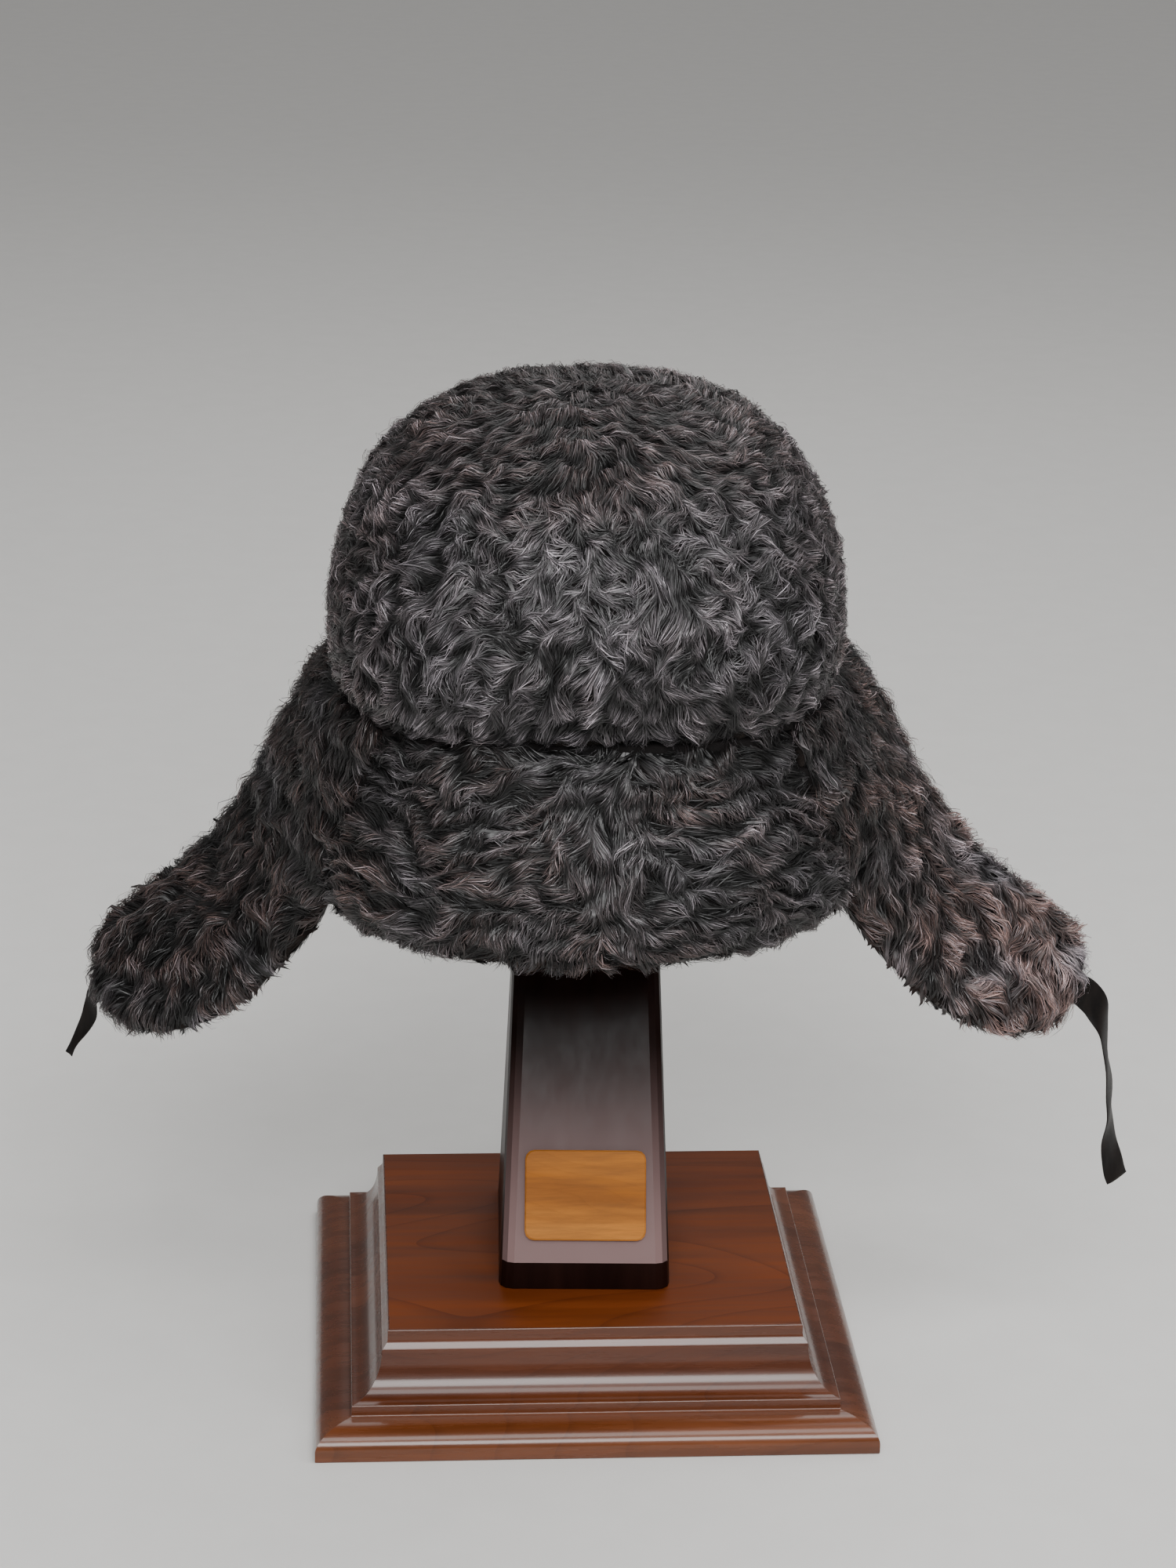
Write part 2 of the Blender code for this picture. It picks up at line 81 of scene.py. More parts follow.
# Ribbons, in millimetres in the hat's own frame: middle of the section, the way across it, width
RIBBON_RIGHT = (
    (208.0, 7.0, 164.5, 0.40, 0.45, 0.80, 13.0),
    (215.5, 8.0, 164.0, 0.40, 0.45, 0.80, 13.0),
    (219.5, 8.5, 162.8, 0.40, 0.35, 0.85, 13.5),
    (223.5, 9.0, 159.6, 0.50, 0.25, 0.80, 13.5),
    (227.9, 9.0, 153.6, 0.70, 0.50, 0.50, 13.0),
    (231.0, 9.0, 144.0, 0.42, 0.90, 0.10, 13.0),
    (232.8, 9.0, 131.4, 0.20, 0.98, 0.00, 13.0),
    (235.0, 9.0, 116.2, 0.32, 0.95, 0.00, 13.0),
    (235.7, 9.0, 102.3, 0.28, 0.96, 0.00, 13.0),
    (236.2, 9.0, 89.3, 0.60, 0.80, 0.05, 13.0),
    (238.4, 9.0, 77.6, 0.80, 0.60, 0.10, 12.5),
    (240.7, 9.0, 70.4, 0.85, 0.45, -0.40, 12.0),
)
RIBBON_LEFT = (
    (-209.0, 4.0, 163.0, -0.40, 0.45, 0.80, 8.0),
    (-215.0, 8.0, 159.5, -0.45, 0.55, 0.70, 8.0),
    (-216.5, 10.0, 154.5, -0.70, 0.60, 0.40, 8.0),
    (-217.8, 11.0, 148.3, -0.90, 0.40, -0.20, 7.5),
    (-221.9, 12.0, 140.3, -0.85, 0.40, -0.35, 6.0),
    (-226.0, 12.0, 133.5, -0.80, 0.50, -0.40, 4.2),
    (-227.8, 12.0, 129.3, -0.80, 0.50, -0.40, 4.6),
)

# Fur
SKIN_VOXEL = 0.0036
SKIN_INSET = 0.0034  # how far the skin lies under the outline that the strands make
BARE_INSET = 0.0005  # the same, on the side of the skin that has little or no hair
RELIEF_DEPTH = 0.0032
SHELTER_REACH = 0.0060  # where another piece lies this near, the skin isn't sunk
SEAM_REACH, SEAM_SWELL = 0.0020, 0.0012  # and this near it swells, which closes the seam
CORNER_REACH, CORNER_SWELL = 0.0040, 0.0016  # the same, where three pieces of fur meet
HAIR_REACH = 0.0012  # no hair grows where another piece lies this near
STRAND_STEPS = 4
STRAND_POINTS = 2 * STRAND_STEPS + 1
ALONG = np.linspace(0.0, 1.0, STRAND_STEPS + 1)  # each step of a strand, from its root to its tip
LENGTH_RANGE = (0.7, 1.2)  # of a strand, against its pelt's length
LEAVING_REACH = 0.0012  # a step that ends farther than this from the skin leaves it, as at a rim
RIM_SLOPE = -0.45  # an upright lower than this is past a rim too, where the strands hang free
ROOT_LIFT, CURL_LIFT, WILD_LIFT = 0.0001, 0.0014, 0.0035  # of a strand's root, its middle and a loose tip
WILD_SHARE = 0.05  # of the strands, where a pelt is wild
INNER_LIFT, INNER_RISE, INNER_PAINTED_SHADE = -0.0010, 0.0016, 0.4  # of the strands on the inner side; the last is painted shade that darkens them
FIRST_SEED = 101
STRAND_SHADES = (
    # darkest, lightest
    (0.015, 0.050),
    (0.080, 0.190),
    (0.225, 0.440),
)
DARK_BELOW, LIGHT_ABOVE = 0.34, 0.80  # the shares of the strands at which those three change
LIGHT_WARMTH = 0.35  # how brown the light strands are, against the others
MEAN_GREY, MEAN_PAINTED_SHADE = 0.14, 0.60  # the grey and the painted shade that strands tend to where a pelt is more even
FLAP_ROOT_X, FLAP_TIP_X = 0.110, 0.200
FRONT_DENSITY = 0.5  # of the crown's hair, against its rear
EDGE_X, EDGE_BAND = 0.075, 0.040  # from this far out, over such a band, the hair turns browner
EDGE_WARMTH, TOP_WARMTH = 0.42, 0.42
LINE_WIDTH = 0.00022  # of the hairs that are painted across a lock
CELL_LENGTH = 8  # of a strand's cell in the map for its baked colours, against the cell's width
CELL_MARGINS = (0.05, 0.15)  # along the cell and across it
STRAND_KINDS = (
    # share, narrowest, widest, height, shade, length, roll
    # the first kind's low shade is painted shade: the wide locks lie under the others and are painted darker
    (0.10, 0.0012, 0.0020, -0.0013, 0.36, 1.10, 0.08),
    (0.56, 0.00024, 0.00037, 0.0000, 0.90, 1.12, 0.35),
    (0.34, 0.00018, 0.00028, 0.0003, 1.16, 1.12, 0.50),
)

# Ribbons' sections
RIBBON_SIDES, RIBBON_STEPS = 16, 5
RIBBON_HALF_THICKNESS = 0.38  # in millimetres

# Wood
FIBRE_STRETCH, RING_STRETCH = 0.07, 0.30  # the scale along the grain against the scale across it
RING_COUNT = 26.0
RING_LINES = (
    (0.0, (0.48, 0.42, 0.40)),
    (0.05, (0.78, 0.75, 0.73)),
    (0.16, (1.0, 1.0, 1.0)),
    (0.93, (1.06, 1.06, 1.06)),
)
PAINTED_SHEEN_FROM_Z, PAINTED_SHEEN_TO_Z = 0.150, 0.055  # the post's front has no painted sheen above the first and its full painted sheen below the second
LEANING = (0.30, 0.42)  # how far a face of the post looks up, where its painted sheen begins and where it is full

# Studio
FLOOR_REACH = 9.0
WORLD_COLOUR, WORLD_STRENGTH = (0.80, 0.79, 0.78, 1.0), 0.24
SUN_STRENGTH, SUN_WIDTH = 0.6, math.radians(40.0)
SUN_TURN = (math.radians(-22.0), math.radians(18.0), 0.0)
AREA_LIGHTS = (
    # name, place, aim, size, power
    ("front", (-0.05, -2.1, 1.75), (0.0, 0.0, 0.20), (1.7, 0.9), 52.0),
    ("above", (0.25, -0.75, 2.0), (0.0, -0.10, 0.10), (1.7, 0.6), 16.0),
    ("right", (1.6, -0.7, 1.5), (0.0, 0.0, 0.25), (0.9, 0.9), 9.0),
    ("left", (-1.6, -0.7, 1.5), (0.0, 0.0, 0.25), (0.9, 0.9), 3.5),
    ("back", (0.2, 1.5, 1.7), (0.0, 0.0, 0.35), (1.4, 0.8), 7.0),
)


def clear_scene():
    for obj in list(bpy.data.objects):
        bpy.data.objects.remove(obj, do_unlink=True)


def link(name, mesh, *materials):
    """A new object in the scene, made of these materials."""
    obj = bpy.data.objects.new(name, mesh)
    bpy.context.scene.collection.objects.link(obj)
    for surface in materials:
        mesh.materials.append(surface)
    return obj


def make_camera():
    yaw, pitch, roll = CAMERA_YAW, CAMERA_PITCH, CAMERA_ROLL
    ahead = Vector((-math.sin(yaw) * math.cos(pitch), math.cos(yaw) * math.cos(pitch), -math.sin(pitch)))
    right = Vector((math.cos(yaw), math.sin(yaw), 0.0))
    up = right.cross(ahead)
    across = math.cos(roll) * right + math.sin(roll) * up
    upward = -math.sin(roll) * right + math.cos(roll) * up
    turn = Matrix((across, upward, -ahead)).transposed()
    data = bpy.data.cameras.new("camera")
    data.sensor_fit = "VERTICAL"
    data.sensor_height = SENSOR
    data.lens = FOCAL_PIXELS / IMAGE_HEIGHT * SENSOR
    camera = bpy.data.objects.new("camera", data)
    camera.matrix_world = Matrix.Translation(CAMERA_AT) @ turn.to_4x4()
    bpy.context.scene.collection.objects.link(camera)
    bpy.context.scene.camera = camera


def hat_matrix():
    turn = Matrix.Rotation(HAT_TURN, 4, "Z") @ Matrix.Rotation(HAT_LEAN, 4, "Y")
    shift = Vector((HAT_SHIFT_X, 0.0, 0.0))
    return Matrix.Translation(HAT_PIVOT + shift) @ turn @ Matrix.Translation(-HAT_PIVOT)


def smooth_rows(rows, steps):
    """Rows with more between them, on Catmull-Rom curves through the given ones."""
    ends = [rows[0], *rows, rows[-1]]
    made = []
    for i in range(1, len(ends) - 2):
        a, b, c, d = (np.array(row) for row in ends[i - 1 : i + 3])
        for step in range(steps):
            t = step / steps
            made.append(
                0.5 * (2 * b + (c - a) * t + (2 * a - 5 * b + 4 * c - d) * t**2
                       + (3 * b - a - 3 * c + d) * t**3)
            )
    made.append(np.array(rows[-1]))
    return made


# Shader helpers


class Surface:
    """A material with a Principled shader, and short calls for the nodes that feed it."""

    def __init__(self, name, colour, roughness, **sockets):
        self.material = bpy.data.materials.new(name)
        self.material.use_nodes = True
        self.tree = self.material.node_tree
        self.shader = self.tree.nodes["Principled BSDF"]
        self.set(**{"Base Color": (*colour, 1.0), "Roughness": roughness})
        self.set(**{key.replace("_", " "): value for key, value in sockets.items()})
        coordinates = self.tree.nodes.new("ShaderNodeTexCoord").outputs
        self.places, self.normals = coordinates["Object"], coordinates["Normal"]

    def set(self, **sockets):
        for key, value in sockets.items():
            self.shader.inputs[key].default_value = value

    def join(self, output, socket):
        self.tree.links.new(output, self.shader.inputs[socket])

    def feed(self, *pairs):
        """Gives each socket the output or the value that comes with it."""
        for socket, value in pairs:
            if isinstance(value, bpy.types.NodeSocket):
                self.tree.links.new(value, socket)
            else:
                socket.default_value = value

    def mapped(self, scale):
        node = self.tree.nodes.new("ShaderNodeMapping")
        node.inputs["Scale"].default_value = scale
        self.tree.links.new(self.places, node.inputs["Vector"])
        return node.outputs["Vector"]

    def noise(self, vector, scale, detail=3.0, roughness=0.55, distortion=0.0):
        node = self.tree.nodes.new("ShaderNodeTexNoise")
        node.inputs["Scale"].default_value = scale
        node.inputs["Detail"].default_value = detail
        node.inputs["Roughness"].default_value = roughness
        node.inputs["Distortion"].default_value = distortion
        self.tree.links.new(vector, node.inputs["Vector"])
        return node.outputs["Fac"]

    def ramp(self, output, *stops):
        node = self.tree.nodes.new("ShaderNodeValToRGB")
        elements = node.color_ramp.elements
        while len(elements) < len(stops):
            elements.new(1.0)
        for element, (place, colour) in zip(elements, stops):
            element.position = place
            element.color = (*colour, 1.0)
        self.tree.links.new(output, node.inputs["Fac"])
        return node.outputs["Color"]

    def upward(self, vector):
        node = self.tree.nodes.new("ShaderNodeSeparateXYZ")
        self.tree.links.new(vector, node.inputs[0])
        return node.outputs["Z"]

    def spread(self, output, low, high, out_low, out_high, kind="LINEAR"):
        node = self.tree.nodes.new("ShaderNodeMapRange")
        node.interpolation_type = kind
        for key, value in (("From Min", low), ("From Max", high), ("To Min", out_low), ("To Max", out_high)):
            node.inputs[key].default_value = value
        self.tree.links.new(output, node.inputs["Value"])
        return node.outputs["Result"]

    def calculate(self, kind, *values):
        node = self.tree.nodes.new("ShaderNodeMath")
        node.operation = kind
        self.feed(*zip(node.inputs, values))
        return node.outputs[0]

    def mix(self, kind, share, first, second):
        node = self.tree.nodes.new("ShaderNodeMix")
        node.data_type = "RGBA"
        node.blend_type = kind
        self.feed((node.inputs[0], share), (node.inputs[6], first), (node.inputs[7], second))
        return node.outputs[2]

    def bump(self, output, strength, distance):
        node = self.tree.nodes.new("ShaderNodeBump")
        node.inputs["Strength"].default_value = strength
        node.inputs["Distance"].default_value = distance
        self.tree.links.new(output, node.inputs["Height"])
        self.join(node.outputs["Normal"], "Normal")


def wood_surface(name, tones, roughness, grain, along, coat, shine, figure=0.0):
    """Lacquered wood: fibres along one axis, bands of tone, fine dark pores and year rings."""
    dark, middle, light = tones
    wood = Surface(name, middle, roughness, Coat_Weight=coat, Coat_Roughness=0.12, Specular_IOR_Level=shine)
    stretch = [1.0, 1.0, 1.0]
    stretch["XYZ".index(along)] = FIBRE_STRETCH
    place = wood.mapped(tuple(stretch))
    bands = wood.noise(place, grain * 0.25, 4.0, 0.6, 1.2)
    fibres = wood.noise(place, grain * 3.0, 5.0, 0.7)
    tone = wood.ramp(bands, (0.32, dark), (0.5, middle), (0.68, light))
    streak = wood.spread(fibres, 0.35, 0.65, 0.72, 1.12)
    colour = wood.mix("MULTIPLY", 1.0, tone, streak)
    if figure:
        stretch["XYZ".index(along)] = RING_STRETCH
        swell = wood.noise(wood.mapped(tuple(stretch)), grain * 0.22, 1.0, 0.4, 0.3)
        rings = wood.calculate("FRACT", wood.calculate("MULTIPLY", swell, RING_COUNT))
        colour = wood.mix("MULTIPLY", figure, colour, wood.ramp(rings, *RING_LINES))
    wood.join(colour, "Base Color")
    wood.join(wood.spread(fibres, 0.3, 0.7, roughness * 0.8, roughness * 1.3), "Roughness")
    wood.bump(fibres, 0.12, 0.0002)
    return wood


def post_surface(tones, painted_sheen):
    """The post's dark lacquer, with a painted sheen: a paler colour painted on the lower part of its leaning
    front face, where a reflection would show.
    """
    post = wood_surface("dark_wood", tones, 0.34, 40.0, "Z", 0.03, 0.09)
    low = post.spread(post.upward(post.places), PAINTED_SHEEN_FROM_Z, PAINTED_SHEEN_TO_Z, 0.0, 1.0, "SMOOTHSTEP")
    front = post.spread(post.upward(post.normals), *LEANING, 0.0, 1.0, "SMOOTHSTEP")
    lacquer = post.shader.inputs["Base Color"].links[0].from_socket
    share = post.calculate("MULTIPLY", low, front)
    # painted sheen: a paler colour mixed into the lower leaning front, where a reflection would show
    post.join(post.mix("MIX", share, lacquer, (*painted_sheen, 1.0)), "Base Color")
    return post


def satin_surface():
    satin = Surface("black_satin", (0.005, 0.004, 0.004), 0.44, Specular_IOR_Level=0.14,
                    Sheen_Weight=0.02, Sheen_Roughness=0.35)
    weave = satin.noise(satin.mapped((1.0, 1.0, 1.0)), 2600.0, 2.0)
    creases = satin.noise(satin.mapped((1.0, 1.0, 0.4)), 190.0, 3.0)
    # painted shade: streaks of a noise stretched along the ribbon make the satin darker and lighter, as its
    # creases would shade it
    tone = satin.ramp(creases, (0.3, (0.003, 0.0025, 0.0025)), (0.7, (0.011, 0.008, 0.007)))
    satin.join(tone, "Base Color")
    satin.join(satin.spread(weave, 0.3, 0.7, 0.36, 0.52), "Roughness")
    satin.bump(weave, 0.25, 0.0001)
    return satin.material


def hide_surface(name, dark, light):
    hide = Surface(name, dark, 0.85, Specular_IOR_Level=0.12)
    place = hide.mapped((1.0, 1.0, 1.0))
    patches = hide.noise(place, 60.0, 4.0)
    pile = hide.noise(place, 900.0, 2.0)
    hide.join(hide.ramp(patches, (0.3, dark), (0.7, light)), "Base Color")
    hide.bump(pile, 0.6, 0.0006)
    return hide.material


def strand_surface():
    """One material for every strand: its own shade, and light and dark hairs that run along a lock."""
    fur = Surface("karakul_strands", (0.04, 0.037, 0.038), 0.38, Specular_IOR_Level=0.5,
                  Sheen_Weight=0.08, Sheen_Roughness=0.4)
    colour = fur.tree.nodes.new("ShaderNodeVertexColor")
    colour.layer_name = "shade"
    along = fur.tree.nodes.new("ShaderNodeUVMap")
    along.uv_map = "hairs"
    hairs = fur.tree.nodes.new("ShaderNodeTexNoise")
    hairs.noise_dimensions = "2D"
    hairs.inputs["Scale"].default_value = 1.0
    hairs.inputs["Detail"].default_value = 1.0
    fur.tree.links.new(along.outputs["UV"], hairs.inputs["Vector"])
    lines = fur.ramp(hairs.outputs["Fac"], (0.36, (0.16, 0.16, 0.16)), (0.50, (0.55, 0.54, 0.54)),
                     (0.64, (1.0, 1.0, 1.0)))
    fur.join(fur.mix("MULTIPLY", 1.0, colour.outputs["Color"], lines), "Base Color")
    return fur.material


# Ribbons


def ribbon_rings(rows, creases):
    """Soft-edged sections down a ribbon, with small creases, and their centres, in metres."""
    rows = smooth_rows(rows, RIBBON_STEPS)
    place = hat_matrix()
    rings, centres = [], []
    for i, row in enumerate(rows):
        middle = Vector(row[0:3])
        ahead = Vector(rows[min(i + 1, len(rows) - 1)][0:3])
        behind = Vector(rows[max(i - 1, 0)][0:3])
        along = (ahead - behind).normalized()
        across = Vector(row[3:6])
        across = (across - along * across.dot(along)).normalized()
        through = across.cross(along).normalized()
        ring = []
        for k in range(RIBBON_SIDES):
            angle = 2 * math.pi * k / RIBBON_SIDES
            x = math.copysign(abs(math.cos(angle)) ** 0.55, math.cos(angle))
            y = math.copysign(abs(math.sin(angle)) ** 0.8, math.sin(angle))
            cup = creases * (x * x - 0.5) + 0.35 * creases * math.sin(3.0 * x + 0.8 * i)
            outward = through * (RIBBON_HALF_THICKNESS * y + cup)
            ring.append(place @ (middle + across * x * row[6] / 2 + outward) * MM)
        rings.append(ring)
        centres.append(sum(ring, Vector()) / RIBBON_SIDES)
    return rings, centres


def ribbon(name, node, rows, creases, satin):
    around = RIBBON_SIDES
    rings, centres = ribbon_rings(rows, creases)
    points = [p for ring in rings for p in ring]
    faces = []
    for i in range(len(rings) - 1):
        for k in range(around):
            j = (k + 1) % around
            faces.append((i * around + k, i * around + j, (i + 1) * around + j, (i + 1) * around + k))
    faces.append(tuple(reversed(range(around))))
    faces.append(tuple(range((len(rings) - 1) * around, len(rings) * around)))
    mesh = bpy.data.meshes.new(name)
    mesh.from_pydata(points, [], faces)
    mesh.shade_smooth()
    piece = link(name, mesh, satin)
    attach(piece, "root")
    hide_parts(node)


# Fur


class Waves:
    """Smooth noise of about unit size: plane waves of nearly one length, in random directions."""

    def __init__(self, length, seed, count=16):
        chance = np.random.default_rng(seed)
        ways = chance.normal(size=(count, 3))
        ways /= np.linalg.norm(ways, axis=1)[:, None]
        self.ways = ways * (2 * math.pi / (length * chance.uniform(0.75, 1.5, count)))[:, None]
        self.phases = chance.uniform(0, 2 * math.pi, count)
        self.size = math.sqrt(2.0 / count)

    def __call__(self, points):
        return np.sin(points @ self.ways.T + self.phases).sum(axis=1) * self.size


def unit(vectors):
    return vectors / np.maximum(np.linalg.norm(vectors, axis=1), 1e-9)[:, None]


def merged_copy(nodes, name):
    """The frame nodes' shells, welded and remeshed into one even mesh."""
    shape = bmesh.new()
    for node in nodes:
        shape.from_mesh(frame["nodes"][node].data)
    bmesh.ops.remove_doubles(shape, verts=shape.verts, dist=1e-5)
    mesh = bpy.data.meshes.new(name)
    shape.to_mesh(mesh)
    shape.free()
    holder = bpy.data.objects.new(name, mesh)
    bpy.context.scene.collection.objects.link(holder)
    remesh = holder.modifiers.new("even", "REMESH")
    remesh.mode = "VOXEL"
    remesh.voxel_size = SKIN_VOXEL
    smooth = holder.modifiers.new("soft", "SMOOTH")
    smooth.iterations = 2
    graph = bpy.context.evaluated_depsgraph_get()
    even = bpy.data.meshes.new_from_object(holder.evaluated_get(graph))
    bpy.data.objects.remove(holder, do_unlink=True)
    bpy.data.meshes.remove(mesh)
    even.name = name
    return even


def mesh_arrays(mesh):
    mesh.calc_loop_triangles()
    points = np.empty(len(mesh.vertices) * 3)
    mesh.vertices.foreach_get("co", points)
    normals = np.empty(len(mesh.vertices) * 3)
    mesh.vertices.foreach_get("normal", normals)
    corners = np.empty(len(mesh.loop_triangles) * 3, dtype=np.int64)
    mesh.loop_triangles.foreach_get("vertices", corners)
    return points.reshape(-1, 3), normals.reshape(-1, 3), corners.reshape(-1, 3)


class Pelt:
    """One piece of fur: where its hair side is, which way the hair lies and how it is coloured."""

    def __init__(self, nodes, outward, strands, length, lie, **looks):
        self.nodes = nodes
        self.outward = outward
        self.strands = strands
        self.length = length
        self.lie = lie
        self.inner_share = looks.get("inner_share", 0.0)
        self.shade = looks.get("shade", 1.0)
        self.brown = looks.get("brown", 0.0)
        self.loft = looks.get("loft", 1.0)
        self.wild = looks.get("wild", 1.0)
        self.tip_shade = looks.get("tip_shade", self.shade)
        self.tip_even = looks.get("tip_even", 0.0)


def down_and_round(normals):
    """Two directions along the surface: downhill, and level, turning from the nape to the sides."""
    down = np.array((0.0, 0.0, -1.0)) - normals * -normals[:, 2:3]
    down = unit(down)
    return down, np.cross(normals, down)


def side_of(points, softness):
    """From -1 on the hat's left to 1 on its right, over a parting of about this width."""
    return np.tanh((points[:, 0] - HAT_SHIFT_X) / softness)


WAVE_WIDE, WAVE_MIDDLE, WAVE_FINE = Waves(0.052, 3), Waves(0.0148, 5), Waves(0.0082, 7)
MIDDLE_SHIFT, FINE_SHIFT = 0.01, 0.004  # so that the relief doesn't follow the lie's own waves
ROLL_WARP, ROLL_SHIFT = Waves(0.060, 11), Waves(0.022, 13)
PATCHES, BROWN_PATCHES, CLUMPS = Waves(0.030, 17), Waves(0.045, 19), Waves(0.007, 23)
ROLL_HEIGHT = 0.0115
CROWN_HEM_Z, CROWN_TOP_Z = 0.340, 0.400  # the hair hangs below the first and lies level above the second
HEM_BAND, TOP_BAND = 0.014, 0.020  # over which it turns from one to the other
NAPE_SHADOW_Z = 0.304  # from here up, the nape's hair gets painted shade, darker as under the crown's hem
NAPE_SHADOW_BAND = 0.010
CROWN_MIDDLE_Z = 0.330
WALL_TOP_Z, SHOULDER_BAND = 0.345, 0.05  # up to the first, the crown's wall faces level


def roll_phase(points):
    """Rises by one from each roll of fur to the next above it."""
    warp = 0.0050 * ROLL_WARP(points) + 0.0030 * ROLL_SHIFT(points)
    return (points[:, 2] + warp) / ROLL_HEIGHT


def top_share(heights):
    """From 0 where the crown's top begins to 1 where the turn of its hair is complete."""
    return np.clip((heights - CROWN_TOP_Z) / TOP_BAND, 0.0, 1.0)


def sway(points, wide, middle, fine):
    """Waves of three lengths together, each with its own size."""
    return wide * WAVE_WIDE(points) + middle * WAVE_MIDDLE(points) + fine * WAVE_FINE(points)


def crown_lie(points):
    """How far the hair turns away from straight down, in radians, to the right where it is positive."""
    waves = sway(points, 0.50, 0.78, 0.28)
    hem = np.clip((CROWN_HEM_Z - points[:, 2]) / HEM_BAND, 0.0, 1.0)
    top = top_share(points[:, 2])
    sweep = 1.15 * side_of(points, 0.045) * (1.0 - 0.35 * hem) + 0.35 * top
    return sweep + waves * (1.0 - 0.4 * hem) * (1.0 - 0.45 * top)


def nape_lie(points):
    swing = 0.50 * np.cos(2 * math.pi * roll_phase(points))
    return (1.12 + swing) * side_of(points, 0.016) + sway(points, 0.40, 0.44, 0.20)


def flap_lie(points):
    return 0.10 * side_of(points, 0.010) + sway(points, 0.45, 0.38, 0.25)


def crown_relief(points):
    """How high the fur stands, from about 0 between the locks to about 1 on them."""
    return 0.54 + 0.13 * WAVE_MIDDLE(points + MIDDLE_SHIFT) + 0.29 * WAVE_FINE(points + FINE_SHIFT)


def nape_relief(points):
    rolls = 0.52 + 0.50 * np.cos(2 * math.pi * (roll_phase(points) - 0.55))
    return rolls + 0.10 * WAVE_MIDDLE(points + MIDDLE_SHIFT) + 0.16 * WAVE_FINE(points + FINE_SHIFT)


def flap_relief(points):
    return 0.5 + 0.30 * WAVE_MIDDLE(points) + 0.25 * WAVE_FINE(points + FINE_SHIFT)


def crown_outward(points, normals):
    """Above 0 on the side that faces out and bears hair, and below 0 on the other side."""
    away = points - np.array((HAT_SHIFT_X, 0.0, CROWN_MIDDLE_Z))
    away[:, 2] *= np.clip((points[:, 2] - WALL_TOP_Z) / SHOULDER_BAND, 0.0, 1.0)
    return (unit(away) * normals).sum(axis=1)


def nape_outward(points, normals):
    away = points - np.array((HAT_SHIFT_X, 0.0, 0.0))
    away[:, 2] = 0.0
    return (unit(away) * normals).sum(axis=1) + 0.25


def looking(way, wrap):
    """The same for a flap whose hair side looks this way, and reaches so far round its rim."""
    def outward(points, normals):
        return normals @ np.array(way) + wrap
    return outward


RELIEFS = {crown_lie: crown_relief, nape_lie: nape_relief, flap_lie: flap_relief}

PELTS = {
    "crown": Pelt(("crown_centre", "crown_side_left", "crown_side_right"), crown_outward, 61000, 0.0132,
                  crown_lie, loft=0.8, brown=0.06, wild=0.3, shade=1.22),
    "nape": Pelt(("nape_flap",), nape_outward, 22000, 0.0140, nape_lie, loft=1.0, brown=0.26,
                 shade=0.76, inner_share=0.10, wild=0.6),
    # the ear flaps' shades are partly painted light: the left flap is painted darker, and the right flap
    # lighter out to its tip, as the light falls from the right
    "ear_flap_left": Pelt(("ear_flap_left",), looking((-0.75, -0.25, 0.60), 0.30), 19000, 0.0125, flap_lie,
                          loft=1.5, brown=0.58, shade=0.66, tip_shade=0.78, inner_share=0.14),
    "ear_flap_right": Pelt(("ear_flap_right",), looking((0.75, -0.25, 0.60), 0.30), 19000, 0.0125, flap_lie,
                           loft=1.5, brown=0.40, shade=0.76, tip_shade=4.1, tip_even=0.8, inner_share=0.14),
    "forehead": Pelt(("forehead_flap",), looking((0.0, 0.85, 0.50), 0.35), 7000, 0.0100, nape_lie,
                     loft=0.9, brown=0.08, wild=0.5, shade=0.62),
}


def tree_of(nodes):
    """A search tree over the triangles of these frame nodes."""
    points, faces = [], []
    for node in nodes:
        own, _, corners = mesh_arrays(frame["nodes"][node].data)
        faces.append(corners + sum(len(p) for p in points))
        points.append(own)
    return BVHTree.FromPolygons(np.vstack(points).tolist(), np.vstack(faces).tolist())


def cornered(points, pelt):
    """True where two other pelts both lie near, at the corner that the three of them share."""
    count = np.zeros(len(points), dtype=int)
    for other in PELTS.values():
        if other is not pelt:
            tree = tree_of(other.nodes)
            count += [tree.find_nearest(Vector(point), CORNER_REACH)[0] is not None for point in points]
    return count > 1


def covered(points, normals, others, reach):
    """True where another piece lies right against the surface."""
    found = np.zeros(len(points), dtype=bool)
    for i, (point, normal) in enumerate(zip(points, normals)):
        way = Vector(normal)
        hit = others.ray_cast(Vector(point) + way * 0.0002, way, reach)
        found[i] = hit[0] is not None
    return found


def scatter(points, normals, corners, weight, count, chance):
    """Random places on the triangles, more where the weight is higher, with their normals."""
    a, b, c = (points[corners[:, k]] for k in range(3))
    share = np.linalg.norm(np.cross(b - a, c - a), axis=1) * weight
    picked = chance.choice(len(corners), size=count, p=share / share.sum())
    u, v = chance.random(count), chance.random(count)
    over = u + v > 1
    u[over], v[over] = 1 - u[over], 1 - v[over]
    mixed = np.stack((1 - u - v, u, v), axis=1)[:, :, None]
    chosen = corners[picked]
    return (points[chosen] * mixed).sum(axis=1), unit((normals[chosen] * mixed).sum(axis=1))


def settle(points, tree, reach):
    """The nearest surface point and normal to each point. Past the reach, the point stays free."""
    near, normals = points.copy(), np.zeros_like(points)
    free = np.zeros(len(points), dtype=bool)
    for i, point in enumerate(points):
        place, normal, _, distance = tree.find_nearest(Vector(point))
        normals[i] = normal
        free[i] = distance > reach
        if distance <= reach:
            near[i] = place
    return near, normals, free


